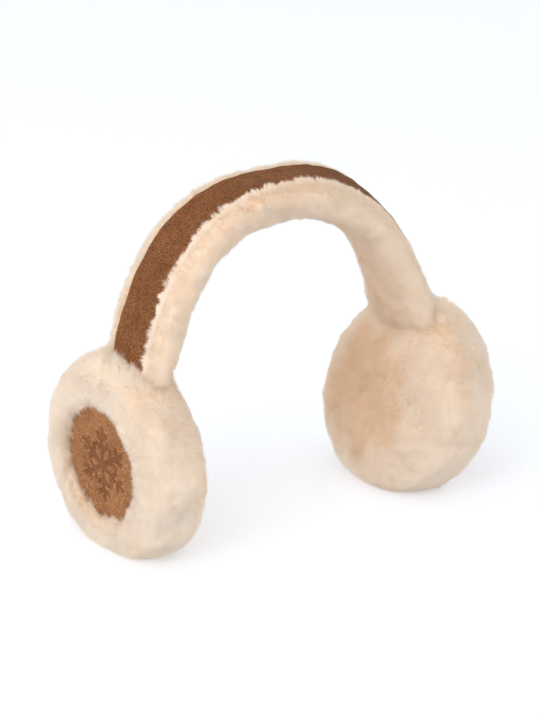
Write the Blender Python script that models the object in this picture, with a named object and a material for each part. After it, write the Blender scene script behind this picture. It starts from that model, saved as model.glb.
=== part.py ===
"""Fur earmuffs standing on their two ear cups.

Metres, +Z up. X runs from the left cup (-X) to the right cup (+X), Y from front to back, and the
floor is z = 0. Each cup is a shearling ring and a shearling pad, turned round the cup's own axis
and sewn together at the rim, with a suede disc let into the ring's outer face. The headband is one
shearling body swept along an arch, with a suede strip lying in a channel along its outside. Fur is
modelled to the tips of its pile.
"""

import math

import bmesh
import bpy
import numpy as np
from mathutils import Matrix

GAP = 0.0003  # air left between two pieces that touch

# The ear cups, each turned round its own axis u, which points away from the head
CUP_RADIUS = 0.057
CUP_THICKNESS = 0.0442
CUP_HEIGHT = 0.0474  # its centre above the floor: less than its radius, because the fur gives
CUP_FLAT = 0.0054  # how much of the squashed lower half is pressed quite flat
CROWN_RADIUS = 0.0445  # where the ring's outer face stands proudest
SEAM_U = -0.001  # place of the rim seam between ring and pad
SEAM_ROUNDING = 0.0015
RIM_POWER = 2.65  # 2 would be a round rim, more is squarer
PAD_POWER = 2.9
LIP_POWER = 2.2
TURN_STEPS = 48

# How each cup hangs from the soft headband: its centre's place, and degrees that its bottom leans
# towards the head and that it is turned about Z
LEFT_CUP = {"x": -0.0893, "y": 0.0075, "tilt": 2.0, "yaw": 0.0}
RIGHT_CUP = {"x": 0.0875, "y": -0.0025, "tilt": 17.0, "yaw": 1.0}

# The suede disc in each cup's outer face
DISC_RADIUS = 0.0345
DISC_THICKNESS = 0.0018
DISC_DEPTH = 0.0050  # its face below the ring's crown, at its edge
DISC_DOME = 0.0012  # how much its middle bulges

# The headband: a superellipse arch, and the fur body's section across it, flatter on the outside
ARCH_HALF_SPAN = 0.0927
ARCH_RISE = 0.1428
ARCH_BASE_Z = 0.0371
ARCH_POWER = 2.52
BAND_WIDTH = 0.0510
BAND_OUTER_DEPTH = 0.0084  # from the middle line out to the outside
BAND_INNER_DEPTH = 0.0143  # from the middle line in to the side that lies on the hair
BAND_OUTER_POWER = 3.0
BAND_INNER_POWER = 1.95
BAND_STEPS = 48
BAND_PLUNGE = 0.012  # how far the arch runs on below the cups' tops before the cups cut it

# The suede strip on the headband
STRIP_WIDTH = 0.030
STRIP_THICKNESS = 0.0016
STRIP_SINK = 0.0006  # its face below the fur's own outline
STRIP_COLUMNS = 6

FUR = (0.86, 0.74, 0.62, 1.0)
SUEDE = (0.36, 0.16, 0.07, 1.0)


def clear_scene():
    for thing in list(bpy.data.objects):
        bpy.data.objects.remove(thing, do_unlink=True)


def finish(name, colour, roughness):
    """A plain material for one sub-part."""
    material = bpy.data.materials.new(name)
    material.use_nodes = True
    shader = material.node_tree.nodes["Principled BSDF"]
    shader.inputs["Base Color"].default_value = colour
    shader.inputs["Roughness"].default_value = roughness
    shader.inputs["Metallic"].default_value = 0.0
    return material


def rounded_quarter(centre, half_r, half_u, power, rows):
    """Points (r, u) on a quarter superellipse, from its r end to its u end."""
    angle = np.linspace(0.0, math.pi / 2, rows + 1)
    r = centre[0] + half_r * np.cos(angle) ** (2 / power)
    u = centre[1] + half_u * np.abs(np.sin(angle)) ** (2 / power)
    return list(zip(r, u))


def cup_face_u():
    return CUP_THICKNESS / 2


def disc_edge_u():
    return cup_face_u() - DISC_DEPTH


def recess_floor_u():
    return disc_edge_u() - DISC_THICKNESS - GAP


def ring_profile():
    """The ring from the axis at its seam side, out over the rim and the lip, back to the axis."""
    seam = SEAM_U + GAP / 2
    base = seam + SEAM_ROUNDING
    rim = rounded_quarter(
        (CROWN_RADIUS, base), CUP_RADIUS - CROWN_RADIUS, cup_face_u() - base, RIM_POWER, 7
    )
    lip_r = DISC_RADIUS + GAP
    lip = rounded_quarter(
        (CROWN_RADIUS, disc_edge_u()), lip_r - CROWN_RADIUS, DISC_DEPTH, LIP_POWER, 4
    )
    return [
        (0.0, seam),
        (CUP_RADIUS - SEAM_ROUNDING, seam),
        *rim,
        *lip[-2::-1],
        (lip_r, recess_floor_u()),
        (0.0, recess_floor_u()),
    ]


def pad_profile():
    """The pad from the axis at its seam side, out to the rim, and over its softly domed face."""
    seam = SEAM_U - GAP / 2
    base = seam - SEAM_ROUNDING
    dome = rounded_quarter((0.0, base), CUP_RADIUS, -cup_face_u() - base, PAD_POWER, 10)
    return [(0.0, seam), (CUP_RADIUS - SEAM_ROUNDING, seam), *dome]


def disc_profile():
    """A shallow dome of suede with a rounded edge."""
    edge = disc_edge_u()
    back = edge - DISC_THICKNESS
    dome = [
        (DISC_RADIUS * share, edge + DISC_DOME * (1 - share**2)) for share in (0.97, 0.75, 0.45, 0.0)
    ]
    return [(0.0, back), (DISC_RADIUS * 0.985, back), (DISC_RADIUS, edge - DISC_THICKNESS / 2), *dome]


def cup_outline(grown):
    """The whole cup's outside, grown all round, with no recess and no seam groove."""
    outer = rounded_quarter(
        (CROWN_RADIUS, SEAM_U + SEAM_ROUNDING),
        CUP_RADIUS - CROWN_RADIUS + grown,
        cup_face_u() - SEAM_U - SEAM_ROUNDING + grown,
        RIM_POWER,
        7,
    )
    inner = rounded_quarter(
        (0.0, SEAM_U - SEAM_ROUNDING),
        CUP_RADIUS + grown,
        -cup_face_u() - SEAM_U + SEAM_ROUNDING - grown,
        PAD_POWER,
        10,
    )
    return [*inner[::-1], *outer, (0.0, cup_face_u() + grown)]


def turned(profile):
    """A closed body: the profile (r, u) spun round the local X axis, which is the cup's u."""
    mesh = bmesh.new()
    verts = [mesh.verts.new((u, 0.0, r)) for r, u in profile]
    edges = [mesh.edges.new(pair) for pair in zip(verts, verts[1:])]
    bmesh.ops.spin(
        mesh,
        geom=verts + edges,
        cent=(0.0, 0.0, 0.0),
        axis=(1.0, 0.0, 0.0),
        angle=2 * math.pi,
        steps=TURN_STEPS,
    )
    bmesh.ops.remove_doubles(mesh, verts=mesh.verts, dist=1e-6)
    bmesh.ops.recalc_face_normals(mesh, faces=mesh.faces)
    return mesh


def squash(mesh):
    """Shortens the cup's lower half towards its centre's height, as its soft fur gives."""
    lower_half = (CUP_HEIGHT + CUP_FLAT) / CUP_RADIUS
    for vert in mesh.verts:
        if vert.co.z < CUP_HEIGHT:
            vert.co.z = CUP_HEIGHT + (vert.co.z - CUP_HEIGHT) * lower_half


def flatten_on_floor(mesh):
    """Cuts off what the floor presses flat, and closes the cut with one flat face."""
    everything = list(mesh.verts) + list(mesh.edges) + list(mesh.faces)
    cut = bmesh.ops.bisect_plane(
        mesh, geom=everything, dist=1e-7, plane_co=(0, 0, 0), plane_no=(0, 0, 1), clear_inner=True
    )
    rim = [piece for piece in cut["geom_cut"] if isinstance(piece, bmesh.types.BMEdge)]
    if rim:
        bmesh.ops.contextual_create(mesh, geom=rim)
    bmesh.ops.recalc_face_normals(mesh, faces=mesh.faces)


def cup_place(side):
    """Local +X, the cup's u, turned outwards on its own side, tilted, yawed and set at its height."""
    cup = LEFT_CUP if side < 0 else RIGHT_CUP
    place = Matrix.Translation((cup["x"], cup["y"], CUP_HEIGHT))
    place = place @ Matrix.Rotation(math.radians(cup["yaw"]), 4, "Z")
    place = place @ Matrix.Rotation(math.radians(side * cup["tilt"]), 4, "Y")
    return place @ Matrix.Rotation(math.pi if side < 0 else 0.0, 4, "Z")


def new_object(name, mesh, material=None):
    data = bpy.data.meshes.new(name)
    mesh.to_mesh(data)
    mesh.free()
    made = bpy.data.objects.new(name, data)
    bpy.context.scene.collection.objects.link(made)
    if material is not None:
        data.materials.append(material)
        data.shade_smooth()
        data.set_sharp_from_angle(angle=math.radians(40))
    return made


def cup_piece(name, profile, side, material):
    mesh = turned(profile)
    mesh.transform(cup_place(side))
    squash(mesh)
    flatten_on_floor(mesh)
    return new_object(name, mesh, material)


def cup_cutter(side):
    """The cup's space and a gap round it, which each end of the headband is cut back from."""
    mesh = turned(cup_outline(GAP))
    mesh.transform(cup_place(side))
    squash(mesh)
    cutter = new_object("cup_cutter_left" if side < 0 else "cup_cutter_right", mesh)
    cutter.hide_render = True
    cutter.display_type = "WIRE"
    return cutter


def arch():
    """Evenly spaced points along the arch's middle line, and the outward normal at each."""
    end_z = CUP_HEIGHT + CUP_RADIUS - BAND_PLUNGE
    start = math.asin(((end_z - ARCH_BASE_Z) / ARCH_RISE) ** (ARCH_POWER / 2))
    t = np.linspace(start, math.pi - start, 2001)
    x = -ARCH_HALF_SPAN * np.sign(np.cos(t)) * np.abs(np.cos(t)) ** (2 / ARCH_POWER)
    z = ARCH_BASE_Z + ARCH_RISE * np.sin(t) ** (2 / ARCH_POWER)
    travelled = np.concatenate([[0.0], np.cumsum(np.hypot(np.diff(x), np.diff(z)))])
    even = np.linspace(0.0, travelled[-1], BAND_STEPS + 1)
    x, z = np.interp(even, travelled, x), np.interp(even, travelled, z)
    run_x, run_z = np.gradient(x), np.gradient(z)
    length = np.hypot(run_x, run_z)
    return x, z, -run_z / length, run_x / length


def band_face(y):
    """Height of the fur's own outline above the middle line, at the distance y across."""
    across = np.abs(np.asarray(y) / (BAND_WIDTH / 2))
    return BAND_OUTER_DEPTH * (1 - across**BAND_OUTER_POWER) ** (1 / BAND_OUTER_POWER)


def strip_section():
    """The suede strip's section (y, n): its face from left to right, its back from right to left."""
    y = np.linspace(-STRIP_WIDTH / 2, STRIP_WIDTH / 2, STRIP_COLUMNS + 1)
    top = band_face(y) - STRIP_SINK
    back = top - STRIP_THICKNESS
    return [*zip(y, top), *zip(y[::-1], back[::-1])]


def fur_section():
    """The fur body's section (y, n): round the inner side, then along the strip's channel."""
    wall = STRIP_WIDTH / 2 + GAP
    edge = math.asin((band_face(wall) / BAND_OUTER_DEPTH) ** (BAND_OUTER_POWER / 2))
    angle = np.linspace(edge, -math.pi - edge, 24)
    outside = np.sin(angle) > 0
    power = np.where(outside, BAND_OUTER_POWER, BAND_INNER_POWER)
    depth = np.where(outside, BAND_OUTER_DEPTH, BAND_INNER_DEPTH)
    y = BAND_WIDTH / 2 * np.sign(np.cos(angle)) * np.abs(np.cos(angle)) ** (2 / power)
    n = depth * np.sign(np.sin(angle)) * np.abs(np.sin(angle)) ** (2 / power)
    floor_y = np.linspace(-wall, wall, STRIP_COLUMNS + 1)
    floor_n = band_face(floor_y) - STRIP_SINK - STRIP_THICKNESS - GAP
    return [*zip(y, n), *zip(floor_y, floor_n)]


def swept(section):
    """A closed body: the section (y, n) carried along the arch, with flat ends."""
    mesh = bmesh.new()
    rows = []
    for x, z, out_x, out_z in zip(*arch()):
        rows.append([mesh.verts.new((x + n * out_x, y, z + n * out_z)) for y, n in section])
    for row, following in zip(rows, rows[1:]):
        for here in range(len(row)):
            after = (here + 1) % len(row)
            mesh.faces.new((row[here], row[after], following[after], following[here]))
    mesh.faces.new(rows[0])
    mesh.faces.new(rows[-1][::-1])
    bmesh.ops.recalc_face_normals(mesh, faces=mesh.faces)
    return mesh


def band_piece(name, section, material, cutters):
    band = new_object(name, swept(section), material)
    for cutter in cutters:
        cut = band.modifiers.new(cutter.name, "BOOLEAN")
        cut.operation = "DIFFERENCE"
        cut.object = cutter
    return band


def centre_over_origin(pieces):
    """Moves everything sideways so that the origin lies under the middle of the outer box."""
    corners = np.array([piece.matrix_world @ vert.co for piece in pieces for vert in piece.data.vertices])
    middle = (corners.min(axis=0) + corners.max(axis=0)) / 2
    for thing in bpy.context.scene.objects:
        thing.location = (-middle[0], -middle[1], 0.0)


def main():
    clear_scene()
    fur = finish("shearling", FUR, 0.95)
    suede = finish("suede", SUEDE, 0.9)
    cups = []
    for label, side in (("left", -1), ("right", 1)):
        cups.append(cup_piece(f"{label}_ear_ring", ring_profile(), side, fur))
        cups.append(cup_piece(f"{label}_ear_pad", pad_profile(), side, fur))
        cups.append(cup_piece(f"{label}_suede_disc", disc_profile(), side, suede))
    cutters = [cup_cutter(-1), cup_cutter(1)]
    band_piece("band_fur", fur_section(), fur, cutters)
    band_piece("band_suede", strip_section(), suede, cutters)
    centre_over_origin(cups)


main()
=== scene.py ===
# %% [markdown]
# # Fur earmuffs
# Two round shearling ear cups, each with a suede disc let into its outer face, hang from a
# shearling headband that is faced with a suede strip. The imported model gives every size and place.
# This lesson covers it with sheepskin: soft bodies first, then a pile of fine hairs on each, then
# the suede. Everything is in metres, with X from the left cup to the right one, and Z up.

# %% Load the frame
import math

import bpy
import numpy as np
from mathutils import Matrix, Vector


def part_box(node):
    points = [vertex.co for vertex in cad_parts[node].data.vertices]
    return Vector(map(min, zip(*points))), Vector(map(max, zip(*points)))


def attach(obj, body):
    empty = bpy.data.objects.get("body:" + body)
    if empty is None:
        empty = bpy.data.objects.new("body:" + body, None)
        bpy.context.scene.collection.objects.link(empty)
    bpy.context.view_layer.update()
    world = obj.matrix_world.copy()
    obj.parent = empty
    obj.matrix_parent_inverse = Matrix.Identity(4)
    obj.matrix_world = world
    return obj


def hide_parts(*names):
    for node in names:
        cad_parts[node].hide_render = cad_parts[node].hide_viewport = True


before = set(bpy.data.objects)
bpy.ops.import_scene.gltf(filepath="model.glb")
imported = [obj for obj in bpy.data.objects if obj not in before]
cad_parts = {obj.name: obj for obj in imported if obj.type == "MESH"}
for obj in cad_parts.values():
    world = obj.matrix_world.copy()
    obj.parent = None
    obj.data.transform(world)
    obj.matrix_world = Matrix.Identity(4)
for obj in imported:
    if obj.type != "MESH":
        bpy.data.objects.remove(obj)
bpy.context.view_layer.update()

MM = 0.001
ROOT = "root"
scene = bpy.context.scene

# %% [markdown]
# ## The camera
# A long lens from well back keeps the two cups close to their true proportions. The camera stands
# to the left of the front and a little above, so that it sees the outside of the left cup and the
# inside of the right one. It looks at a point under the arch, measured from the headband's box.

# %% Camera
CAMERA_LEFT = math.radians(36.5)
CAMERA_UP = math.radians(18.4)
CAMERA_DISTANCE = 1.346
CAMERA_LENS = 124.5
band_low, band_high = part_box("band_fur")
BAND_X = (band_low.x + band_high.x) / 2
BAND_Y = (band_low.y + band_high.y) / 2
LOOK_AT = Vector((BAND_X - 3.7 * MM, BAND_Y, 86.4 * MM))


def direction_from(left, up):
    """Unit vector from the object towards a camera: left of the front, and up from the floor."""
    return Vector((-math.sin(left) * math.cos(up), -math.cos(left) * math.cos(up), math.sin(up)))


def make_camera():
    data = bpy.data.cameras.new("camera")
    data.lens = CAMERA_LENS
    data.clip_start, data.clip_end = 0.05, 20.0
    camera = bpy.data.objects.new("camera", data)
    back = direction_from(CAMERA_LEFT, CAMERA_UP)
    camera.location = LOOK_AT + back * CAMERA_DISTANCE
    camera.rotation_mode = "QUATERNION"
    camera.rotation_quaternion = (-back).to_track_quat("-Z", "Y")
    scene.collection.objects.link(camera)
    scene.camera = camera


make_camera()
print("camera looks at", [round(v, 4) for v in LOOK_AT])

# %% [markdown]
# ## Floor and light
# Sheepskin looks soft when its light is soft, so most of the light comes evenly from a whole sky,
# and three big panels add just enough direction to round the cups. The sky is one lamp, a sun as
# wide as the heavens: rays are sent to it on purpose, so they reach both sides of thin hairs alike.
# The floor is plain and pale. It glows a little, so that the shadows on it stay light.

# %% Stage and lights
FLOOR_COLOUR = (0.70, 0.74, 0.80, 1.0)
FLOOR_GLOW = 0.33
SKY_LIGHT = 1.68
WORLD_HIGH, WORLD_LOW = 0.28, 1.00  # the world's light overhead, and near the horizon
WORLD_DIMS = 0.11, 0.24  # it dims between these heights, as the sine of the angle up
RANGE_ENDS = "From Min", "From Max", "To Min", "To Max"


def make_floor():
    """A big flat square, far wider than any view of the object."""
    half = 6.0
    corners = [(-half, -half, 0), (half, -half, 0), (half, half, 0), (-half, half, 0)]
    mesh = bpy.data.meshes.new("floor")
    mesh.from_pydata(corners, [], [(0, 1, 2, 3)])
    floor = bpy.data.objects.new("floor", mesh)
    scene.collection.objects.link(floor)
    material = bpy.data.materials.new("floor")
    material.use_nodes = True
    shader = material.node_tree.nodes["Principled BSDF"]
    shader.inputs["Base Color"].default_value = FLOOR_COLOUR
    shader.inputs["Roughness"].default_value = 1.0
    shader.inputs["Specular IOR Level"].default_value = 0.0
    shader.inputs["Emission Color"].default_value = (1, 1, 1, 1)
    shader.inputs["Emission Strength"].default_value = FLOOR_GLOW
    mesh.materials.append(material)


def make_light(name, left, up, distance, size, watts):
    """A square panel that faces the object from the given side and height, in degrees."""
    data = bpy.data.lights.new(name, "AREA")
    data.shape = "SQUARE"
    data.size = size
    data.energy = watts
    data.cycles.use_multiple_importance_sampling = False
    light = bpy.data.objects.new(name, data)
    back = direction_from(math.radians(left), math.radians(up))
    light.location = LOOK_AT + back * distance
    light.rotation_mode = "QUATERNION"
    light.rotation_quaternion = (-back).to_track_quat("-Z", "Y")
    scene.collection.objects.link(light)


def make_sky():
    """A sun that fills nearly the whole sky."""
    data = bpy.data.lights.new("sky", "SUN")
    data.angle = math.radians(178)
    data.energy = SKY_LIGHT
    data.cycles.use_multiple_importance_sampling = False
    sky = bpy.data.objects.new("sky", data)
    sky.location = (0, 0, 2)
    scene.collection.objects.link(sky)


def make_world():
    """White all round: bright near the horizon, where it is seen behind the object, dim above."""
    world = bpy.data.worlds.new("studio")
    world.use_nodes = True
    tree = world.node_tree
    background = tree.nodes["Background"]
    background.inputs["Color"].default_value = (1, 1, 1, 1)
    place = tree.nodes.new("ShaderNodeTexCoord")
    parts = tree.nodes.new("ShaderNodeSeparateXYZ")
    tree.links.new(place.outputs["Generated"], parts.inputs["Vector"])
    rising = tree.nodes.new("ShaderNodeMapRange")
    for name, number in zip(RANGE_ENDS, (*WORLD_DIMS, WORLD_LOW, WORLD_HIGH)):
        rising.inputs[name].default_value = number
    tree.links.new(parts.outputs["Z"], rising.inputs["Value"])
    tree.links.new(rising.outputs["Result"], background.inputs["Strength"])
    scene.world = world


make_floor()
make_world()
make_sky()
make_light("key", left=62, up=30, distance=1.4, size=0.9, watts=6.6)
make_light("fill", left=-25, up=30, distance=1.6, size=1.4, watts=1.4)
make_light("back", left=170, up=45, distance=1.5, size=1.2, watts=1.5)
scene.view_settings.view_transform = "Standard"

# %% [markdown]
# ## Finding the cups
# In the frame each cup is turned round its own axis, and its lower half is then shortened, because
# the fur gives under the earmuffs' weight. Undoing that on the suede disc's points leaves a true
# disc. The direction in which its points spread least is the cup's axis, called u here.

# %% The cups' places
CUP_HEIGHT = 47.4 * MM  # of a cup's middle above the floor
LOWER_SHARE = 0.9263  # what is left of the height of a cup's lower half


def shortened(points):
    """Brings points below the cup's middle up towards it, as the fur gives under the weight."""
    out = points.copy()
    z = points[..., 2]
    out[..., 2] = np.where(z < CUP_HEIGHT, CUP_HEIGHT + (z - CUP_HEIGHT) * LOWER_SHARE, z)
    return out


def lengthened(points):
    """The opposite of shortened."""
    out = points.copy()
    z = points[..., 2]
    out[..., 2] = np.where(z < CUP_HEIGHT, CUP_HEIGHT + (z - CUP_HEIGHT) / LOWER_SHARE, z)
    return out


def node_points(node):
    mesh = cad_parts[node].data
    points = np.empty(len(mesh.vertices) * 3)
    mesh.vertices.foreach_get("co", points)
    return lengthened(points.reshape(-1, 3))


class Cup:
    """One ear cup: its middle, its axis u away from the head, and its sizes along and across u."""

    def __init__(self, side):
        self.side = side
        points = node_points(f"{side}_suede_disc")
        self.middle = (points.min(axis=0) + points.max(axis=0)) / 2
        spread = points - points.mean(axis=0)
        axis = np.linalg.svd(spread, full_matrices=False)[2][2]
        self.axis = axis * np.sign(axis[0]) * (-1 if side == "left" else 1)
        self.level = np.cross([0.0, 0.0, 1.0], self.axis)
        self.level /= np.linalg.norm(self.level)
        self.up = np.cross(self.axis, self.level)
        disc_u, disc_r = self.measured(points)
        self.disc_radius = disc_r.max()
        self.disc_face = disc_u[disc_r > 0.9 * self.disc_radius].max()
        ring_u, ring_r = self.measured(node_points(f"{side}_ear_ring"))
        pad_u, _ = self.measured(node_points(f"{side}_ear_pad"))
        self.radius = ring_r.max()
        self.crown, self.seam, self.back = ring_u.max(), ring_u.min(), pad_u.min()

    def measured(self, points):
        """Each point's place along u and its distance from the axis."""
        away = points - self.middle
        along = away @ self.axis
        return along, np.linalg.norm(away - along[..., None] * self.axis, axis=-1)

    def place(self, u, r, angle):
        """World points at u along the axis and r from it, at an angle that starts at the top."""
        u, r, angle = np.broadcast_arrays(u, r, angle)
        flat = np.cos(angle)[..., None] * self.up + np.sin(angle)[..., None] * self.level
        return shortened(self.middle + u[..., None] * self.axis + r[..., None] * flat)


CUPS = {side: Cup(side) for side in ("left", "right")}
for cup in CUPS.values():
    sizes = [cup.radius, cup.disc_radius, cup.disc_face, cup.crown, cup.seam, cup.back]
    print(cup.side, "axis", cup.axis.round(3), "sizes in mm", [round(v / MM, 1) for v in sizes])

# %% [markdown]
# ## Surfaces from rings of points
# Every body here is a row of closed rings with a point at each end: a cup is rings round its axis,
# and the headband is sections along its arch. A few short functions turn such rings into meshes,
# give their normals, and roughen them with smooth noise.

# %% Rings to mesh
FLOOR_AIR = 0.3 * MM


def mesh_object(name, points, corners, starts):
    """A mesh object from whole arrays: points, the corners of all faces, and where each starts."""
    mesh = bpy.data.meshes.new(name)
    mesh.vertices.add(len(points))
    mesh.vertices.foreach_set("co", np.ascontiguousarray(points, dtype=np.float32).ravel())
    mesh.loops.add(len(corners))
    mesh.loops.foreach_set("vertex_index", corners.astype(np.int32))
    mesh.polygons.add(len(starts))
    mesh.polygons.foreach_set("loop_start", starts.astype(np.int32))
    mesh.update(calc_edges=True)
    mesh.shade_smooth()
    made = bpy.data.objects.new(name, mesh)
    scene.collection.objects.link(made)
    return made


def skin(name, rings, start, end):
    """A closed mesh: quads between neighbouring rings, and a fan of triangles to each end point."""
    rows, around = rings.shape[:2]
    points = np.concatenate([rings.reshape(-1, 3), [start, end]])
    row = np.arange(rows - 1)[:, None] * around
    first = np.arange(around)
    following = (first + 1) % around
    low, high = row + first, row + following
    quads = np.stack([low, high, high + around, low + around], axis=-1)
    last = (rows - 1) * around
    pole = rows * around
    start_fan = np.stack([following, first, np.full(around, pole)], axis=-1)
    end_fan = np.stack([last + first, last + following, np.full(around, pole + 1)], axis=-1)
    corners = np.concatenate([quads.ravel(), start_fan.ravel(), end_fan.ravel()])
    count = (rows - 1) * around
    starts = np.concatenate([np.arange(count) * 4, count * 4 + np.arange(2 * around) * 3])
    return mesh_object(name, points, corners, starts)


def ring_normals(rings):
    """Outward unit normals of rings: the cross product of the steps round them and along them."""
    along = np.gradient(rings, axis=0)
    around = (np.roll(rings, -1, axis=1) - np.roll(rings, 1, axis=1)) / 2
    return unit(np.cross(around, along))


def unit(vectors):
    return vectors / np.maximum(np.linalg.norm(vectors, axis=-1, keepdims=True), 1e-12)


def waves(points, size, seed, channels=1):
    """Smooth noise of about unit strength: a sum of sine waves that run in random directions."""
    rng = np.random.default_rng(seed)
    total = np.zeros((*points.shape[:-1], channels))
    count = 14
    for channel in range(channels):
        way = rng.normal(size=(3, count))
        way *= 2 * math.pi / size * rng.uniform(0.6, 1.5, count) / np.linalg.norm(way, axis=0)
        total[..., channel] = np.sin(points @ way + rng.uniform(0, 2 * math.pi, count)).sum(axis=-1)
    return total / math.sqrt(count / 2)


def lumpy(rings, seed, deep):
    """Rings with the gentle hills of thick pile: coarse and fine waves along the normals."""
    hills = 0.65 * waves(rings, 17 * MM, seed) + 0.35 * waves(rings, 7 * MM, seed + 1)
    return rings + deep * hills * ring_normals(rings)


def evenly(profile, rows):
    """A profile of points walked again in steps of one length."""
    profile = np.asarray(profile, float)
    walked = np.concatenate([[0], np.cumsum(np.linalg.norm(np.diff(profile, axis=0), axis=1))])
    at = np.linspace(0, walked[-1], rows)
    return np.stack([np.interp(at, walked, values) for values in profile.T], axis=-1)


def eased(x):
    """0 below 0, 1 above 1, and a smooth step between."""
    x = np.clip(x, 0, 1)
    return x * x * (3 - 2 * x)


def on_floor(points):
    out = points.copy()
    out[..., 2] = np.maximum(out[..., 2], FLOOR_AIR)
    return out


def give(made, name, values):
    """Stores one number for each point of the mesh, for a material to read."""
    layer = made.data.attributes.new(name, "FLOAT", "POINT")
    layer.data.foreach_set("value", np.ascontiguousarray(values, dtype=np.float32).ravel())


print("helpers ready")

# %% [markdown]
# ## The cups' soft bodies
# Under the hair is the mass of the pile. Each cup is two sewn bodies that meet at the rim: a ring,
# rounded from the rim over its crown and down to the suede disc, and a pad whose domed face has a
# shallow hollow for the ear. Quarter superellipses give both, and they stand a little inside the
# frame's outline, which the hair then fills.

# %% Profiles of the cups
HAIR_DEPTH = 1.5 * MM
CROWN_SHARE = 0.78  # the crown's radius as a share of the cup's
RIM_POWER, LIP_POWER, PAD_POWER = 2.65, 2.2, 2.7
CUP_ROWS, CUP_AROUND = 44, 144
SEWN_ROWS = 4
HOLLOW_DEPTH, HOLLOW_RADIUS = 4.5 * MM, 43 * MM
THINNER = {"left": 2.0 * MM, "right": 0.0}  # the left pad is pressed a little flatter


def quarter(middle, half_r, half_u, power, count=60):
    """A quarter superellipse of points (r, u), from its r end to its u end."""
    t = np.linspace(0, math.pi / 2, count)
    r = middle[0] + half_r * np.abs(np.cos(t)) ** (2 / power)
    u = middle[1] + half_u * np.abs(np.sin(t)) ** (2 / power)
    return np.stack([r, u], axis=-1)


def ring_profile(cup):
    """From the seam out over rim, crown and lip, ending down beside the disc."""
    crown_r = CROWN_SHARE * cup.radius
    rim_r = cup.radius - HAIR_DEPTH
    top = cup.crown - HAIR_DEPTH
    lip_r = cup.disc_radius + 0.4 * MM
    rim = quarter((crown_r, cup.seam), rim_r - crown_r, top - cup.seam, RIM_POWER)
    lip = quarter((crown_r, cup.disc_face), lip_r - crown_r, top - cup.disc_face, LIP_POWER)
    return evenly([*rim, *lip[::-1], (lip_r, cup.disc_face - 2.0 * MM)], CUP_ROWS)


def pad_profile(cup):
    """From the seam out over the dome and down into the hollow."""
    rim_r = cup.radius - HAIR_DEPTH
    back = cup.back + HAIR_DEPTH + THINNER[cup.side]
    dome = quarter((0.0, cup.seam), rim_r, back - cup.seam, PAD_POWER)
    dome[:, 1] += HOLLOW_DEPTH * np.clip(1 - (dome[:, 0] / HOLLOW_RADIUS) ** 2, 0, 1) ** 2
    return evenly(dome, CUP_ROWS)


def sewn_face(cup):
    """The flat, hidden face where a cup's two bodies meet, from its middle out."""
    share = np.linspace(0.2, 0.8, SEWN_ROWS)
    return np.stack([share * (cup.radius - HAIR_DEPTH), np.full(SEWN_ROWS, cup.seam)], axis=-1)


def turned_rings(cup, profile, turn):
    """Rings round the cup's axis, one for each point of the profile; turn is 1 or -1."""
    angle = turn * np.linspace(0, 2 * math.pi, CUP_AROUND, endpoint=False)
    profile = np.maximum(profile, [0.4 * MM, -1])
    return cup.place(profile[:, 1:2], profile[:, 0:1], angle[None, :])


for cup in CUPS.values():
    depths = [np.ptp(profile(cup)[:, 1]) / MM for profile in (ring_profile, pad_profile)]
    print(cup.side, "ring and pad, depth in mm", [round(float(v), 1) for v in depths])

# %% [markdown]
# ## Stuffing them
# Real cups are stuffed, so the skin is tight where it can swell and held where it is sewn. A cloth
# simulation with air pressure inside blows each body up a little. A cap keeps the swelling small,
# and nothing moves at the seam or beside the disc.

# %% Cloth
PUFF_CAP = 1.0 * MM
PUFF_FRAMES = 20


def puffed(rings, start, end, held):
    """The rings after a short cloth simulation with air pressure inside; held rows stay put."""
    soft = skin("stuffing", rings, start, end)
    settings = soft.modifiers.new("cloth", "CLOTH").settings
    settings.quality = 5
    settings.use_pressure = True
    settings.uniform_pressure_force = 4.0
    settings.effector_weights.gravity = 0.0
    scene.frame_start, scene.frame_end = 1, PUFF_FRAMES
    for frame_number in range(1, PUFF_FRAMES + 1):
        scene.frame_set(frame_number)
    blown = soft.evaluated_get(bpy.context.evaluated_depsgraph_get()).data
    points = np.empty(len(blown.vertices) * 3, np.float32)
    blown.vertices.foreach_get("co", points)
    points = points.reshape(-1, 3)[: rings.shape[0] * rings.shape[1]].reshape(rings.shape)
    bpy.data.objects.remove(soft, do_unlink=True)
    scene.frame_set(1)
    swelling = points - rings
    size = np.linalg.norm(swelling, axis=-1, keepdims=True)
    print("swelled by up to", round(float(size.max() / MM), 2), "mm, kept", round(PUFF_CAP / MM, 2))
    swelling *= np.minimum(1, PUFF_CAP / np.maximum(size, 1e-9))
    return rings + swelling * (1 - held)[:, None, None]


def held_rows(profile, places, reach=6 * MM):
    """1 at rows near any of the places (r, u), falling smoothly to 0 at the reach."""
    gap = np.min([np.linalg.norm(profile - np.array(p), axis=1) for p in places], axis=0)
    return eased(1 - gap / reach)


def soft_body(name, node, rings, start, end):
    """The padded piece that stands for a node of the frame."""
    body = skin(name, rings, start, end)
    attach(body, ROOT)
    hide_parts(node)
    return body


def cup_body(cup, part, profile, sewn, turn, seed):
    """One soft body of a cup, and the rings that its hair grows from."""
    whole = np.concatenate([sewn_face(cup), profile])
    rings = turned_rings(cup, whole, turn)
    start, end = (cup.place(whole[row, 1], 0.0, 0.0) for row in (0, -1))
    held = held_rows(whole, sewn)
    held[:SEWN_ROWS] = 1
    rings = puffed(rings, start, end, held)
    shown = on_floor(lumpy(rings[SEWN_ROWS:], seed, 0.40 * MM))
    rings = np.concatenate([rings[:SEWN_ROWS], shown])
    body = soft_body(f"{cup.side}_{part}_body", f"{cup.side}_{part}", rings, start, end)
    return body, shown


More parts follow.
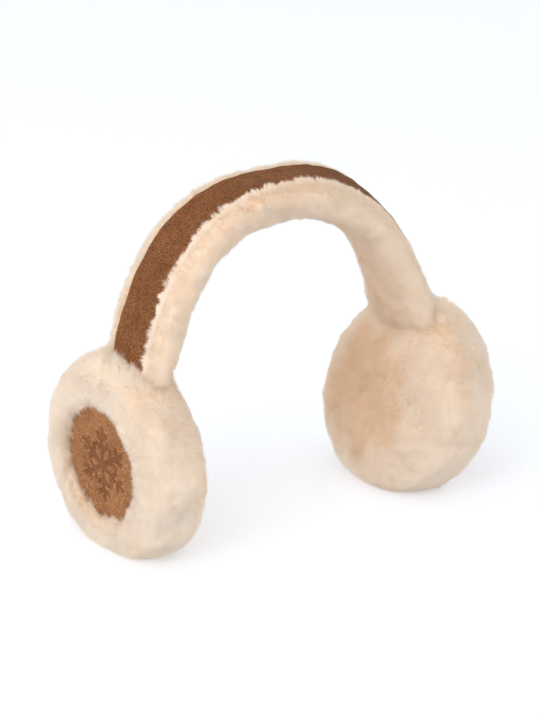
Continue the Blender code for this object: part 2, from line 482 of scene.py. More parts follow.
bodies, grounds = [], {}
for number, cup in enumerate(CUPS.values()):
    seam_edge = (cup.radius - HAIR_DEPTH, cup.seam)
    lip_edge = (cup.disc_radius, cup.disc_face)
    parts = (("ear_ring", ring_profile(cup), -1), ("ear_pad", pad_profile(cup), 1))
    for part, profile, turn in parts:
        body, rings = cup_body(cup, part, profile, [seam_edge, lip_edge], turn, 10 + 2 * number)
        bodies.append(body)
        grounds[cup.side, part] = rings
print("cup bodies", [(b.name, len(b.data.polygons)) for b in bodies])

# %% [markdown]
# ## The headband's arch
# The headband follows a superellipse: straighter at the sides than a circle, and flatter on top.
# Its section is nearly flat outside, where the suede lies, and round inside, where fur meets hair.

# %% Arch and band
ARCH_HALF_SPAN, ARCH_RISE, ARCH_BASE = 92.7 * MM, 142.8 * MM, 37.1 * MM
ARCH_POWER = 2.52
ARCH_LOW = 84 * MM  # where the arch ends, inside the cups
BAND_HALF_WIDTH, OUTER_DEPTH, INNER_DEPTH = 25.5 * MM, 8.4 * MM, 14.3 * MM
OUTER_POWER, INNER_POWER = 3.0, 1.95
BAND_STEPS, BAND_AROUND = 200, 72
TUCK_LENGTH, TUCK_SHARE = 34 * MM, 0.75  # towards its ends the band thins, and slips into the cups
TWIST = math.radians(15)  # the supple band turns its face forwards, most of all right of its top


class Arch:
    """The headband's middle line from cup to cup: a superellipse, x^p + z^p = 1 once scaled."""

    def __init__(self, low=ARCH_LOW):
        start = math.asin(((low - ARCH_BASE) / ARCH_RISE) ** (ARCH_POWER / 2))
        t = np.linspace(start, math.pi - start, 4001)
        x = BAND_X - ARCH_HALF_SPAN * np.sign(np.cos(t)) * np.abs(np.cos(t)) ** (2 / ARCH_POWER)
        z = ARCH_BASE + ARCH_RISE * np.sin(t) ** (2 / ARCH_POWER)
        self.walked = np.concatenate([[0], np.cumsum(np.hypot(np.diff(x), np.diff(z)))])
        self.length = self.walked[-1]
        self.x, self.z = x, z
        run = unit(np.stack([np.gradient(x), np.gradient(z)], axis=-1))
        self.run_x, self.run_z = run[:, 0], run[:, 1]

    def at(self, share, across, height):
        """Points at a share of the length, across the line and at a height out from it."""
        share, across, height = np.broadcast_arrays(share, across, height)
        line, run, out = self.axes(share)
        return line + across[..., None] * np.cross(out, run) + height[..., None] * out

    def axes(self, share):
        """The line's points, direction and outward normal at a share of the length. The normal is
        turned forwards by the twist, which comes and goes smoothly along x and up z.
        """
        walked = np.asarray(share) * self.length
        kept = (self.x, self.z, self.run_x, self.run_z)
        x, z, run_x, run_z = (np.interp(walked, self.walked, values) for values in kept)
        flat = np.zeros_like(x)
        line = np.stack([x, flat + BAND_Y, z], axis=-1)
        run = unit(np.stack([run_x, flat, run_z], axis=-1))
        turn = TWIST * eased((x - BAND_X) / (50 * MM)) * eased((z - 100 * MM) / (50 * MM))
        out = np.stack([-run[..., 2], flat, run[..., 0]], axis=-1) * np.cos(turn)[..., None]
        return line, run, out - np.sin(turn)[..., None] * np.array([0, 1.0, 0])


def outer_face(y, half_width=BAND_HALF_WIDTH, depth=OUTER_DEPTH):
    """Height of the band's outside above the middle line at y across."""
    share = np.clip(np.abs(y) / half_width, 0, 1)
    return depth * (1 - share**OUTER_POWER) ** (1 / OUTER_POWER)


def band_section():
    """The fur body's section (y, height): a flat half superellipse outside, a round one inside."""
    t = np.linspace(0, 2 * math.pi, 721)
    power = np.where(np.sin(t) > 0, OUTER_POWER, INNER_POWER)
    depth = np.where(np.sin(t) > 0, OUTER_DEPTH, INNER_DEPTH) - HAIR_DEPTH
    y = (BAND_HALF_WIDTH - HAIR_DEPTH) * np.sign(np.cos(t)) * np.abs(np.cos(t)) ** (2 / power)
    n = depth * np.sign(np.sin(t)) * np.abs(np.sin(t)) ** (2 / power)
    return evenly(np.stack([y, n], axis=-1), BAND_AROUND + 1)[:-1]


arch = Arch()
section = band_section()
steps = np.linspace(0, 1, BAND_STEPS)
from_end = np.minimum(steps, 1 - steps)[:, None] * arch.length
tucked = np.where(section[:, 1] < 0, 1 - TUCK_SHARE * eased(1 - from_end / TUCK_LENGTH), 1)
band_rings = arch.at(steps[:, None], section[:, 0], section[:, 1] * tucked)
band_rings = lumpy(band_rings, 31, 0.4 * MM)
ends = arch.at(np.array([0.0, 1.0]), 0.0, 0.0)
band_body = soft_body("band_fur_body", "band_fur", band_rings, ends[0], ends[1])
bodies.append(band_body)
print("arch length in mm", round(arch.length / MM, 1))

# %% [markdown]
# ## Pile
# Each hair is one narrow blade, widest at its root. Hairs near each other lean alike and draw
# together at their tips, which makes the soft locks of shearling. All the hairs of a body are one
# mesh, worked out as whole arrays. Each hair takes the normal of the body under it, tilted a
# little away from the middle of its lock, so the pile is lit as one soft, mottled surface. The
# correction that Cycles makes for coarse smooth meshes is off, because it would darken thin blades.

# %% Roots and locks
LOCK_SIZE = 5 * MM


def scattered(rings, first, last, count, rng, keep=None):
    """Even random places on the rings from the first row to the last, each with its normal."""
    normals = ring_normals(rings)
    step_a = (np.roll(rings, -1, axis=1) - rings)[first:last]
    step_b = (rings[1:] - rings[:-1])[first:last]
    area = np.linalg.norm(np.cross(step_a, step_b), axis=-1)
    if keep is not None:
        area = area * keep[first:last]
    chance = np.cumsum(area.ravel())
    drawn = np.searchsorted(chance, rng.uniform(0, chance[-1], count))
    row, column = drawn // rings.shape[1] + first, drawn % rings.shape[1]
    beside = (column + 1) % rings.shape[1]
    a, b = rng.uniform(size=(2, count, 1))

    def between(grid):
        low = grid[row, column] * (1 - a) + grid[row, beside] * a
        high = grid[row + 1, column] * (1 - a) + grid[row + 1, beside] * a
        return low * (1 - b) + high * b

    return between(rings), unit(between(normals))


def nearest_lock(points, size, seed):
    """For each point, the nearest of the locks' middles, one in each cell of a jittered lattice."""
    cell = np.floor(points / size).astype(np.int64)
    best = np.full(len(points), np.inf)
    middle = np.zeros_like(points)
    tone = np.zeros(len(points))
    for shift in np.ndindex(3, 3, 3):
        near = cell + np.array(shift) - 1
        # Big primes turn the cell's three whole numbers into one that looks random.
        mixed = (near @ np.array([73856093, 19349663, 83492791]) + seed * 265443) % 1000003
        jitter = np.stack([(mixed * k % 10007) / 10007 for k in (331, 577, 911)], axis=-1)
        at = (near + jitter) * size
        gap = np.linalg.norm(points - at, axis=1)
        closer = gap < best
        best = np.where(closer, gap, best)
        middle = np.where(closer[:, None], at, middle)
        tone = np.where(closer, (mixed * 127 % 9973) / 9973, tone)
    return middle, tone


def flat_to(vectors, normals):
    """What is left of the vectors once their part along the normals is taken away."""
    return vectors - np.sum(vectors * normals, axis=1, keepdims=True) * normals


_, tones = nearest_lock(grounds["left", "ear_ring"].reshape(-1, 3), LOCK_SIZE, seed=7)
print("locks on a ring", len(np.unique(tones)))


# %% Blades
HAIR_LENGTH, HAIR_WIDTH = 3.5 * MM, 0.26 * MM
ROOT_DEPTH = 0.5 * MM
LAID_OVER = 0.9  # the tangent of how far the pile lies over
STRAY_SHARE, STRAY_LENGTH = 0.04, 1.45  # a few hairs stand up, and are longer


def hairs(name, places, normals, flow, rng, length, width, warmth_and_shade, comb=0.0, pull=0.16, loose=0.16):
    """A mesh of blades, each a triangle of two root corners and a tip.

    tip = root + length * (normal + flow + small waves + loose * random + comb), and then drawn by
    the share pull towards the middle of its lock. A stray hair takes only the random part, doubled.
    """
    count = len(places)
    middle, tone = nearest_lock(places, LOCK_SIZE, seed=7)
    to_middle = flat_to(middle - places, normals)
    small = 0.10 * waves(places, 9 * MM, 78, channels=3)
    jitter = loose * rng.normal(size=(count, 3))
    stray = (rng.uniform(size=count) < STRAY_SHARE)[:, None]
    along = unit(normals + flat_to(np.where(stray, 2 * jitter, flow + small + jitter + comb), normals))
    long = (length * rng.uniform(0.75, 1.12, count) * (0.92 + 0.16 * tone))[:, None]
    long = np.where(stray, STRAY_LENGTH * HAIR_LENGTH * rng.uniform(0.5, 1, (count, 1)), long)
    root = places - normals * ROOT_DEPTH
    tip = root + along * (long + ROOT_DEPTH) + pull * to_middle
    side = unit(np.cross(tip - root, rng.normal(size=(count, 3)) + 2 * normals))
    wide = (width * rng.uniform(0.7, 1.3, count))[:, None] / np.where(stray, 4, 2)
    points = np.stack([root - side * wide, root + side * wide, tip], axis=1)
    facing = np.cross(points[:, 1] - points[:, 0], points[:, 2] - points[:, 0])
    inwards = np.sum(facing * normals, axis=1) < 0
    points[inwards] = points[inwards][:, [1, 0, 2]]
    facing[inwards] *= -1
    shade = unit(normals - 0.10 * to_middle / LOCK_SIZE + 0.05 * unit(facing))
    corners = np.arange(count * 3)
    made = mesh_object(name, on_floor(points.reshape(-1, 3)), corners, corners[::3])
    made.data.normals_split_custom_set_from_vertices(np.repeat(shade, 3, axis=0))
    give(made, "along", np.tile([0.0, 0.0, 1.0], count))
    give(made, "single", np.repeat(rng.uniform(size=count), 3))
    give(made, "lock", np.repeat(tone, 3))
    give(made, "warmth_and_shade", np.repeat(np.broadcast_to(warmth_and_shade, count), 3))
    own_patches(made.data, count)
    made.cycles.shadow_terminator_geometry_offset = 0.0
    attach(made, ROOT)
    return made


def lying(places, normals, share=1.0):
    """Which way the pile lies: down, and wandering. One rule for all, so that no seam shows."""
    wander = 0.15 * waves(places, 30 * MM, 77, channels=3)
    return LAID_OVER * share * flat_to(wander - np.array([0, 0, 1.0]), normals)


def right_of_top(places):
    """0 up to 30 mm right of the headband's top, and 1 from 50 mm on."""
    return eased((places[:, 0] - BAND_X - 30 * MM) / (20 * MM))


def tufted(places, size, seed):
    """Noise from 0.1 to 1.6 that gathers hair into tufts about this far apart."""
    return np.clip(0.65 + 0.6 * waves(places, size, seed)[:, 0], 0.1, 1.6)


def own_patches(mesh, count):
    """A map that gives each hair its own small patch, in rows and columns."""
    side = math.ceil(math.sqrt(count))
    corner = np.stack([np.arange(count) % side, np.arange(count) // side], axis=-1)[:, None]
    patch = np.array([[0.1, 0.1], [0.9, 0.1], [0.5, 0.9]])[None]
    layer = mesh.uv_layers.new(name="OFBake")
    layer.uv.foreach_set("vector", ((corner + patch) / side).astype(np.float32).ravel())


print("hair length and width in mm", round(HAIR_LENGTH / MM, 2), round(HAIR_WIDTH / MM, 2))

# %% [markdown]
# ## Hair on the cups
# The pile is short and dense. Beside the suede disc it leans in over the disc's edge, and it is
# painted warmer and darker there, as painted shade. Where the headband comes in it is longer and
# reaches up along the band, as it hides the join there. The hollow of each pad is painted warmest
# and darkest, as painted shade in the recess; the light there also goes from hair to hair before it
# leaves. This painted shade is centred a little towards the back.

# %% Cup pile
CUP_HAIRS = 154000
# How far towards the back the painted shade in a pad's hollow is centred.
SHADE_SPOT_BACK = np.array([0, 12 * MM, 0])


def near_band(places, reach=13 * MM):
    """1 close to the headband's middle line where it enters a cup, falling to 0 further off."""
    side = np.clip((np.abs(places[:, 1] - BAND_Y) - BAND_HALF_WIDTH) / reach, 0, 1)
    low = np.clip((100 * MM - places[:, 2]) / reach, 0, 1)
    return eased(1 - side) * eased(1 - low)


def ring_pile(cup, number):
    rng = np.random.default_rng(100 + number)
    rings = grounds[cup.side, "ear_ring"]
    places, normals = scattered(rings, 0, CUP_ROWS - 3, CUP_HAIRS, rng)
    _, radius = cup.measured(lengthened(places))
    lip = eased((cup.disc_radius + 6 * MM - radius) / (6 * MM))
    inwards = unit(flat_to(cup.middle - places, np.broadcast_to(cup.axis, places.shape)))
    tufts = tufted(places, 5 * MM, 55)
    join = near_band(places)
    comb = inwards * (lip * tufts)[:, None] + np.array([0, 0, 1.0]) * (join * tufts)[:, None]
    length = HAIR_LENGTH * (1 + 0.55 * lip * tufts + 0.7 * join * tufts)
    # Painted shade: beside the disc, where the fur meets it, the hair is painted warmer and darker.
    warmth_and_shade = 0.18 + 0.35 * lip + 0.05 * waves(places, 30 * MM, 91)[:, 0]
    flow = lying(places, normals, (1 - 0.8 * np.maximum(lip, join))[:, None])
    return hairs(f"{cup.side}_ring_pile", places, normals, flow, rng, length, HAIR_WIDTH, warmth_and_shade, comb)


def pad_pile(cup, number):
    rng = np.random.default_rng(110 + number)
    rings = grounds[cup.side, "ear_pad"]
    places, normals = scattered(rings, 0, CUP_ROWS - 1, CUP_HAIRS, rng)
    _, radius = cup.measured(lengthened(places) - SHADE_SPOT_BACK)
    uneven = radius + 3 * MM * waves(places, 18 * MM, 93)[:, 0]
    hollow = eased((44 * MM - uneven) / (18 * MM))
    join = near_band(places)
    # Painted shade: the hollow is painted warmer and darker, most of all a little towards the back.
    warmth_and_shade = 0.3 + 0.65 * hollow + 0.05 * waves(places, 30 * MM, 92)[:, 0]
    tufts = tufted(places, 6 * MM, 56)
    comb = np.array([0, 0, 1.0]) * (join * tufts)[:, None]
    length = HAIR_LENGTH * (1 + 0.7 * join * tufts)
    flow = lying(places, normals, (1 - 0.8 * join)[:, None])
    return hairs(f"{cup.side}_pad_pile", places, normals, flow, rng, length, HAIR_WIDTH, warmth_and_shade, comb)


piles = []
for number, cup in enumerate(CUPS.values()):
    piles.append(ring_pile(cup, number))
    piles.append(pad_pile(cup, number))
print("cup hairs", sum(len(p.data.polygons) for p in piles))

# %% [markdown]
# ## Hair on the headband
# The band's hair covers everything that the suede strip doesn't. Along the strip's front edge,
# tufts of finer hair lean in over the suede. Along its back edge they stand up beyond it. Both are
# shorter right of the top, where the band is rubbed most.

# %% Band pile
STRIP_HALF = 15.0 * MM
BAND_HAIRS = 175000
FRINGE_HAIRS = 20000


def band_pile():
    rng = np.random.default_rng(120)
    line, _, out = arch.axes(steps)
    inner = ((band_rings - line[:, None]) * out[:, None]).sum(axis=-1) < 0
    furry = (inner | (np.abs(section[:, 0]) > STRIP_HALF + 0.3 * MM)) & (line[:, 2] > 88 * MM)[:, None]
    places, normals = scattered(band_rings, 0, BAND_STEPS - 1, BAND_HAIRS, rng, furry)
    y = places[:, 1] - BAND_Y
    # Painted shade: the hair is painted warmest and darkest along the middle of the band's underside.
    warmth_and_shade = 0.85 - 0.35 * eased(np.abs(y) / BAND_HALF_WIDTH) + 0.05 * waves(places, 30 * MM, 94)[:, 0]
    edge = eased(1 - (np.abs(y) - STRIP_HALF) / (5 * MM)) * (normals[:, 1] * y > 0)
    tufts = tufted(places, 6 * MM, 57)
    ends = eased((108 * MM - places[:, 2]) / (16 * MM))
    edge *= 1 - 0.6 * right_of_top(places)
    comb = (-0.9 * np.sign(y) * edge * tufts)[:, None] * np.array([0, 1.0, 0])
    flow = lying(places, normals, (1 - 0.8 * edge)[:, None])
    length = HAIR_LENGTH * (1 + 0.9 * ends * tufts)
    return hairs("band_pile", places, normals, flow, rng, length, HAIR_WIDTH, warmth_and_shade, comb)


def fringe(name, side, seed, length, over, spread, warm):
    """Tufts along one edge of the strip: over is how far they lean across it, in tangents."""
    rng = np.random.default_rng(seed)
    share = rng.uniform(0.045, 0.955, FRINGE_HAIRS)
    y = STRIP_HALF + rng.uniform(-0.1 * MM, spread, FRINGE_HAIRS)
    height = outer_face(y) + rng.uniform(-1.0 * MM, 0.3 * MM, FRINGE_HAIRS)
    places = arch.at(share, side * y, height)
    _, run, out = arch.axes(share)
    normals = unit(out + side * 0.35 * np.array([0, 1.0, 0]))
    tufts = tufted(places, 5 * MM, seed + 1)[:, None]
    comb = -side * over * tufts * np.array([0, 1.0, 0]) + 0.45 * run * waves(places, 14 * MM, seed + 2)
    long = length * (0.6 + 0.4 * tufts[:, 0]) * (1 - 0.45 * right_of_top(places))
    warmth_and_shade = warm + 0.05 * waves(places, 30 * MM, 95)[:, 0]
    return hairs(name, places, normals, 0.0, rng, long, 0.17 * MM, warmth_and_shade, comb, pull=0.22, loose=0.22)


piles.append(band_pile())
piles.append(fringe("band_front_fringe", -1, 130, length=3.0 * MM, over=1.2, spread=2.2 * MM, warm=0.25))
piles.append(fringe("band_back_fringe", 1, 140, length=3.4 * MM, over=0.3, spread=4.0 * MM, warm=0.0))
print("hairs", sum(len(p.data.polygons) for p in piles))

# %% [markdown]
# ## The suede strip
# Suede is the flesh side of the same kind of skin: a thin, matt sheet with a short nap. The strip
# is cut by hand, so its edges wander slightly, and it is carried along the arch on top of the fur
# body. Its cut edge shows the paler inside of the leather, and right of the top the strip is
# painted darker, as painted shade.

# %% Strip
STRIP_PROUD, STRIP_THICKNESS = 1.2 * MM, 2.8 * MM
STRIP_STEPS = 240


def strip_section():
    """Across the face from -1 to 1, then back underneath; with how deep each point lies."""
    face = np.sin(np.linspace(-1, 1, 25) * math.pi / 2)
    depth = 1.1 * MM * np.clip((np.abs(face) - 0.70) / 0.30, 0, 1) ** 2
    under = np.linspace(1, -1, 7)
    across = np.concatenate([face, under])
    depth = np.concatenate([depth, np.full(7, STRIP_THICKNESS)])
    return across[::-1], depth[::-1]


def make_strip():
    strip_arch = Arch(low=90 * MM)
    across, depth = strip_section()
    share = np.linspace(0, 1, STRIP_STEPS)[:, None]
    middle = strip_arch.at(share, 0.0, 0.0)
    wander = 0.3 * MM * waves(middle + np.sign(across)[None, :, None] * 40 * MM, 35 * MM, 61)[..., 0]
    y = across * (STRIP_HALF + wander)
    height = outer_face(y) + STRIP_PROUD - depth
    rings = strip_arch.at(share, y, height)
    _, _, out = strip_arch.axes(share)
    rings = rings + 0.12 * MM * waves(rings, 11 * MM, 62) * out
    strip = skin("band_suede_strip", rings, rings[0].mean(axis=0), rings[-1].mean(axis=0))
    cut = eased((np.abs(across) - 0.975) / 0.02)
    worn = eased((np.abs(across) - 0.80) / 0.2) * (depth < STRIP_THICKNESS)
    # Painted shade: the strip is painted darker from a little left of its top towards the right.
    painted_shade = 0.6 * eased((rings[..., 0] - BAND_X + 15 * MM) / (60 * MM))
    for name, values in (("cut", cut), ("worn", worn), ("pressed_and_shade", painted_shade)):
        give(strip, name, np.concatenate([np.broadcast_to(values, rings.shape[:2]).ravel(), [0, 0]]))
    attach(strip, ROOT)
    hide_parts("band_suede")
    return strip


strip = make_strip()
print("strip faces", len(strip.data.polygons))

# %% [markdown]
# ## The suede discs
# Each disc is let into the ring, with its middle raised by the stuffing. A plain six-armed
# snowflake is pressed into it with a warm stamp: soft-edged grooves, with the nap laid flat and
# darker in them. The grooves are a distance field: how far each point lies from the nearest line.

# %% Discs
ARM_LENGTH = 20.5 * MM
GROOVE_DEPTH, GROOVE_HALF = 0.85 * MM, 0.95 * MM
GROOVE_SLOPE = 0.8 * MM


def from_line(point, start, end):
    """Distance of points from a straight line between two places on the disc."""
    start, way = np.array(start), np.array(end) - np.array(start)
    share = np.clip((point - start) @ way / (way @ way), 0, 1)
    return np.linalg.norm(point - start - share[..., None] * way, axis=-1)


def from_snowflake(r, angle):
    """Distance from the nearest line of a snowflake: one arm, seen in a six-sided mirror."""
    sector = math.pi / 3
    folded = np.abs((angle + sector / 2) % sector - sector / 2)
    point = np.stack([r * np.cos(folded), r * np.sin(folded)], axis=-1)
    lines = [from_line(point, (0, 0), (ARM_LENGTH, 0))]
    for share, long in ((0.42, 5.6 * MM), (0.72, 4.4 * MM)):
        foot = share * ARM_LENGTH
        lines.append(from_line(point, (foot, 0), (foot + long * 0.5, long * 0.866)))
    return np.min(lines, axis=0)


def make_disc(cup):
    """A dome: rings from the middle out, over the edge, and back underneath."""
    radius = cup.disc_radius
    inner = np.linspace(0.25 * MM, 22.5 * MM, 52)
    outer = np.linspace(23.1 * MM, radius, 18)
    r = np.concatenate([inner, outer, [radius, 0.5 * radius]])
    under = np.arange(len(r)) >= len(r) - 2
    angle = np.linspace(0, 2 * math.pi, 216, endpoint=False)
    gap = from_snowflake(r[:, None], angle)
    # On a disc this is only the stamped snowflake, with no painted shade.
    pressed_and_shade = np.where(under[:, None], 0, 1 - eased((gap - GROOVE_HALF) / GROOVE_SLOPE))
    lifted = np.where(under[:, None], 0, np.exp(-(((gap - 2.2 * MM) / (0.6 * MM)) ** 2)))
    roll = np.clip((r / radius - 0.965) / 0.035, 0, 1) ** 2
    u = cup.disc_face + 1.2 * MM * (1 - (r / radius) ** 2) - 0.5 * MM * roll
    u = np.where(under, cup.disc_face - 1.6 * MM, u)[:, None]
    u = u - GROOVE_DEPTH * pressed_and_shade + 0.12 * MM * lifted
    rings = cup.place(u, r[:, None], angle)
    rings = rings + 0.10 * MM * waves(rings, 10 * MM, 63) * cup.axis
    disc = skin(f"{cup.side}_disc", rings, rings[0].mean(axis=0), rings[-1].mean(axis=0))
    worn = np.where(under, 0, eased((r / radius - 0.8) / 0.2))[:, None] * np.ones_like(gap)
    for name, values in (("cut", 0 * gap), ("worn", worn), ("pressed_and_shade", pressed_and_shade)):
        give(disc, name, np.concatenate([values.ravel(), [values[0, 0], values[-1, 0]]]))
    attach(disc, ROOT)
    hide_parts(f"{cup.side}_suede_disc")
    return disc


discs = [make_disc(cup) for cup in CUPS.values()]
print("disc faces", [len(d.data.polygons) for d in discs])

# %% [markdown]
# ## The fleece's colour
# Real fleece isn't one cream. Each hair and each lock is a little different. Where shade falls, in
# the pads' hollows, beside the discs and along the headband's underside, the fleece is painted
# warmer and darker: this is painted shade. Tip and root are nearly alike, because light grows
# warmer by itself on its way among the roots. One node group mixes these, for the hairs and for the
# bodies. A hair is lit the same on both of its sides: its front face reflects light, and its back
# face lets through the light that falls on the front.

# %% Colour helpers
def linear(red, green, blue):
    """A colour from the usual 0 to 255 numbers."""
    share = np.array([red, green, blue]) / 255
    return (*np.where(share <= 0.04045, share / 12.92, ((share + 0.055) / 1.055) ** 2.4), 1.0)


class Nodes:
    """Short ways to add and join nodes in one tree."""

    def __init__(self, tree):
        self.tree = tree

    def add(self, kind, settings=(), **values):
        node = self.tree.nodes.new(kind)
        for name, value in dict(settings).items():
            setattr(node, name, value)
        for name, value in values.items():
            self.put(node.inputs[name.replace("_", " ")], value)
        return node

    def put(self, socket, value):
        if isinstance(value, bpy.types.NodeSocket):
            self.tree.links.new(value, socket)
        else:
            socket.default_value = value

    def read(self, name):
        """The number that a mesh stores under this name."""
        return self.add("ShaderNodeAttribute", {"attribute_name": name}).outputs["Fac"]

    def noise(self, scale, detail=2.0, roughness=0.5):
        """Smooth noise from 0 to 1 on Object coordinates; scale is in waves to the metre."""
        place = self.add("ShaderNodeTexCoord").outputs["Object"]
        values = {"Vector": place, "Scale": scale, "Detail": detail, "Roughness": roughness}
        return self.add("ShaderNodeTexNoise", **values).outputs["Fac"]

    def spread(self, value, low, high, to_low=0.0, to_high=1.0):
        """Takes low..high to to_low..to_high, and stops there."""
        node = self.add("ShaderNodeMapRange", {"clamp": True})
        for name, number in zip(RANGE_ENDS, (low, high, to_low, to_high)):
            node.inputs[name].default_value = number
        self.put(node.inputs["Value"], value)
        return node.outputs["Result"]

    def sum(self, *values):
        total = values[0]
        for value in values[1:]:
            node = self.add("ShaderNodeMath", {"operation": "ADD"})
            self.put(node.inputs[0], total)
            self.put(node.inputs[1], value)
            total = node.outputs[0]
        return total

    def times(self, a, b):
        node = self.add("ShaderNodeMath", {"operation": "MULTIPLY"})
        self.put(node.inputs[0], a)
        self.put(node.inputs[1], b)
        return node.outputs[0]

    def mix(self, share, a, b):
        """From colour a to colour b."""
        node = self.add("ShaderNodeMix", {"data_type": "RGBA"})
        for name, value in (("Factor", share), ("A", a), ("B", b)):
            self.put(node.inputs[name], value)
        return node.outputs["Result"]


def new_material(name):
    material = bpy.data.materials.new(name)
    material.use_nodes = True
    tree = material.node_tree
    return material, tree.nodes["Principled BSDF"], tree.nodes["Material Output"], Nodes(tree)


def group(name, takes, gives):
    """An empty node group with named inputs (name, kind, value) and outputs (name, kind)."""
    tree = bpy.data.node_groups.new(name, "ShaderNodeTree")
    for label, kind, value in takes:
        tree.interface.new_socket(label, in_out="INPUT", socket_type=kind).default_value = value
    for label, kind in gives:
        tree.interface.new_socket(label, in_out="OUTPUT", socket_type=kind)
    return tree, tree.nodes.new("NodeGroupInput").outputs, tree.nodes.new("NodeGroupOutput").inputs


print("a middle grey in linear light is", round(float(linear(128, 128, 128)[0]), 3))


# %% Fleece
# The warm colours are also darker, so more warmth paints shade as well as a warmer tone.
PALE_TIP, PALE_ROOT = linear(251, 237, 221), linear(250, 238, 224)
WARM_SHADE_TIP, WARM_SHADE_ROOT = linear(241, 215, 187), linear(241, 216, 189)


def fleece_tone():
    """The fleece's colour from how far out, how warm and shaded, and how light each spot is."""
    number = "NodeSocketFloat"
    takes = [("Out", number, 0.5), ("Warmth_and_shade", number, 0.3), ("Lightness", number, 0.5)]
    tree, taken, given = group("fleece tone", takes, [("Colour", "NodeSocketColor")])
    nodes = Nodes(tree)
    cloudy = nodes.spread(nodes.noise(75.0, detail=3.0), 0.3, 0.7, -0.10, 0.10)
    warmth_and_shade = nodes.sum(taken["Warmth_and_shade"], cloudy)
    tip = nodes.mix(warmth_and_shade, PALE_TIP, WARM_SHADE_TIP)
    root = nodes.mix(warmth_and_shade, PALE_ROOT, WARM_SHADE_ROOT)
    colour = nodes.mix(taken["Out"], root, tip)
    darker = nodes.add("ShaderNodeHueSaturation", Saturation=1.04, Value=0.96, Color=colour)
    nodes.put(given["Colour"], nodes.mix(taken["Lightness"], darker.outputs["Color"], colour))
    return tree


FLEECE_TONE = fleece_tone()


def hair_material():
    material, shader, output, nodes = new_material("fleece_hair")
    shader.inputs["Roughness"].default_value = 1.0
    shader.inputs["Specular IOR Level"].default_value = 0.0
    light = nodes.sum(nodes.times(nodes.read("single"), 0.5), nodes.times(nodes.read("lock"), 0.5))
    tone = nodes.add("ShaderNodeGroup", {"node_tree": FLEECE_TONE})
    nodes.put(tone.inputs["Out"], nodes.read("along"))
    nodes.put(tone.inputs["Warmth_and_shade"], nodes.read("warmth_and_shade"))
    nodes.put(tone.inputs["Lightness"], light)
    nodes.put(shader.inputs["Base Color"], tone.outputs["Colour"])
    through = nodes.add("ShaderNodeBsdfTranslucent", Color=tone.outputs["Colour"])
    side = nodes.add("ShaderNodeNewGeometry").outputs["Backfacing"]
    both = nodes.add("ShaderNodeMixShader", Fac=side)
    nodes.put(both.inputs[1], shader.outputs["BSDF"])
    nodes.put(both.inputs[2], through.outputs["BSDF"])
    nodes.put(output.inputs["Surface"], both.outputs["Shader"])
    return material


def body_material():
    """The mass of the pile, seen only between hairs: root colours, and a fine woolly bump."""
    material, shader, _, nodes = new_material("fleece_body")
    shader.inputs["Specular IOR Level"].default_value = 0.1
    curl = nodes.noise(900.0, detail=4.0, roughness=0.6)
    tone = nodes.add("ShaderNodeGroup", {"node_tree": FLEECE_TONE})
    nodes.put(tone.inputs["Out"], nodes.spread(curl, 0.35, 0.65, 0.1, 0.6))
    nodes.put(tone.inputs["Warmth_and_shade"], 0.35)
    nodes.put(tone.inputs["Lightness"], nodes.spread(nodes.noise(180.0), 0.3, 0.7))
    nodes.put(shader.inputs["Base Color"], tone.outputs["Colour"])
    nodes.put(shader.inputs["Roughness"], nodes.spread(curl, 0.3, 0.7, 0.85, 1.0))
    bump = nodes.add("ShaderNodeBump", Strength=0.5, Distance=0.0004, Height=curl)
    nodes.put(shader.inputs["Normal"], bump.outputs["Normal"])
    return material


hair_finish, body_finish = hair_material(), body_material()
for piece in piles:
    piece.data.materials.append(hair_finish)
for piece in bodies:
    piece.data.materials.append(body_finish)
print("fleece on", len(piles) + len(bodies), "pieces")

# %% [markdown]
# ## The suede's colour
# Suede is chestnut, quite matt, and never even: the nap lies one way here and another there, and
# catches more or less light. Close up it is a field of tiny light and dark grains. It is darker
# where the snowflake was pressed, paler and rubbed towards the edges, and the cut edge is bare pale
# leather. The strip is also painted darker right of its top, as painted shade. Strip and discs are
# one suede in two copies: the strip's shades are darker, as painted shade, and the discs' lighter,
# as painted light.

# %% Suede
# One suede in two copies: the strip's shades are painted darker, as painted shade, and the discs'
# lighter, as painted light.
BAND_SHADES_IN_PAINTED_SHADE = linear(120, 75, 44), linear(82, 46, 24), linear(154, 103, 65)
DISC_SHADES_IN_PAINTED_LIGHT = linear(146, 96, 60), linear(104, 63, 36), linear(186, 134, 92)
CUT_EDGE = linear(222, 180, 142)


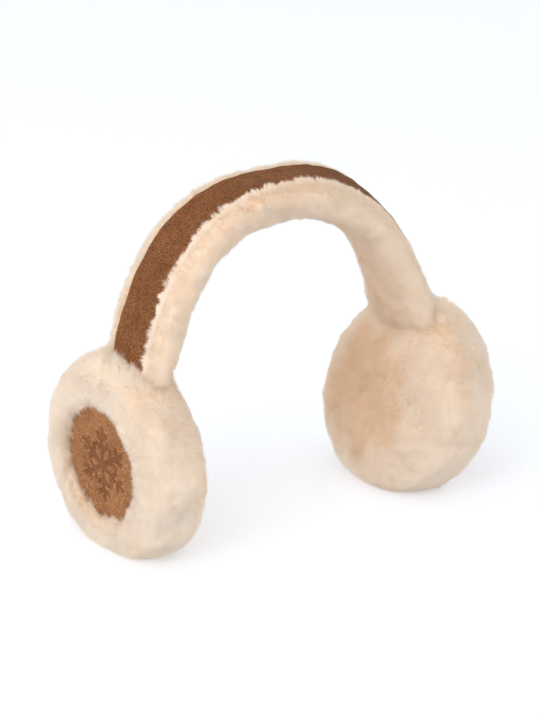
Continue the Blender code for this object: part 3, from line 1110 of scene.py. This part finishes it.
def suede_nap():
    """The nap's colour, height and roughness, from three shades and from what the mesh stores."""
    colour, number = "NodeSocketColor", "NodeSocketFloat"
    takes = [(name, colour, (0, 0, 0, 1)) for name in ("Main", "Dark", "Light")]
    takes += [(name, number, 0.0) for name in ("Pressed_and_shade", "Worn", "Cut")]
    gives = [("Colour", colour), ("Height", number), ("Roughness", number)]
    tree, taken, given = group("suede nap", takes, gives)
    nodes = Nodes(tree)
    dark, light = taken["Dark"], taken["Light"]
    brushed = nodes.noise(70.0, detail=3.0, roughness=0.55)
    patches = nodes.noise(420.0, detail=3.0, roughness=0.6)
    grains = nodes.noise(1200.0, detail=2.0, roughness=0.7)
    shade = nodes.mix(nodes.spread(grains, 0.40, 0.60), dark, light)
    shade = nodes.mix(0.85, taken["Main"], shade)
    shade = nodes.mix(nodes.spread(brushed, 0.42, 0.70, 0.0, 0.40), shade, dark)
    shade = nodes.mix(nodes.spread(patches, 0.48, 0.75, 0.0, 0.25), shade, light)
    # Darker where pressed: the snowflake stamped on the discs, and painted shade on the strip right of
    # its top.
    shade = nodes.mix(nodes.times(taken["Pressed_and_shade"], 0.60), shade, dark)
    shade = nodes.mix(nodes.times(taken["Worn"], 0.10), shade, light)
    nodes.put(given["Colour"], nodes.mix(taken["Cut"], shade, CUT_EDGE))
    nodes.put(given["Height"], nodes.sum(nodes.times(grains, 0.7), nodes.times(patches, 0.3)))
    nodes.put(given["Roughness"], nodes.spread(grains, 0.3, 0.7, 0.8, 1.0))
    return tree


SUEDE_NAP = suede_nap()


def suede_material(name, shades):
    material, shader, _, nodes = new_material(name)
    shader.inputs["Specular IOR Level"].default_value = 0.12
    shader.inputs["Sheen Weight"].default_value = 0.08
    shader.inputs["Sheen Roughness"].default_value = 0.6
    shader.inputs["Sheen Tint"].default_value = shades[2]
    nap = nodes.add("ShaderNodeGroup", {"node_tree": SUEDE_NAP})
    for label, value in zip(("Main", "Dark", "Light"), shades):
        nodes.put(nap.inputs[label], value)
    for label in ("Pressed_and_shade", "Worn", "Cut"):
        nodes.put(nap.inputs[label], nodes.read(label.lower()))
    nodes.put(shader.inputs["Base Color"], nap.outputs["Colour"])
    nodes.put(shader.inputs["Roughness"], nap.outputs["Roughness"])
    bump = nodes.add("ShaderNodeBump", Strength=0.6, Distance=0.0003, Height=nap.outputs["Height"])
    nodes.put(shader.inputs["Normal"], bump.outputs["Normal"])
    return material


# The strip's suede takes the darker shades, with painted shade; the discs' takes the lighter, with
# painted light.
strip.data.materials.append(suede_material("band_suede", BAND_SHADES_IN_PAINTED_SHADE))
disc_finish = suede_material("disc_suede_painted_light", DISC_SHADES_IN_PAINTED_LIGHT)
for disc in discs:
    disc.data.materials.append(disc_finish)
print("suede on", [piece.name for piece in [strip, *discs]])
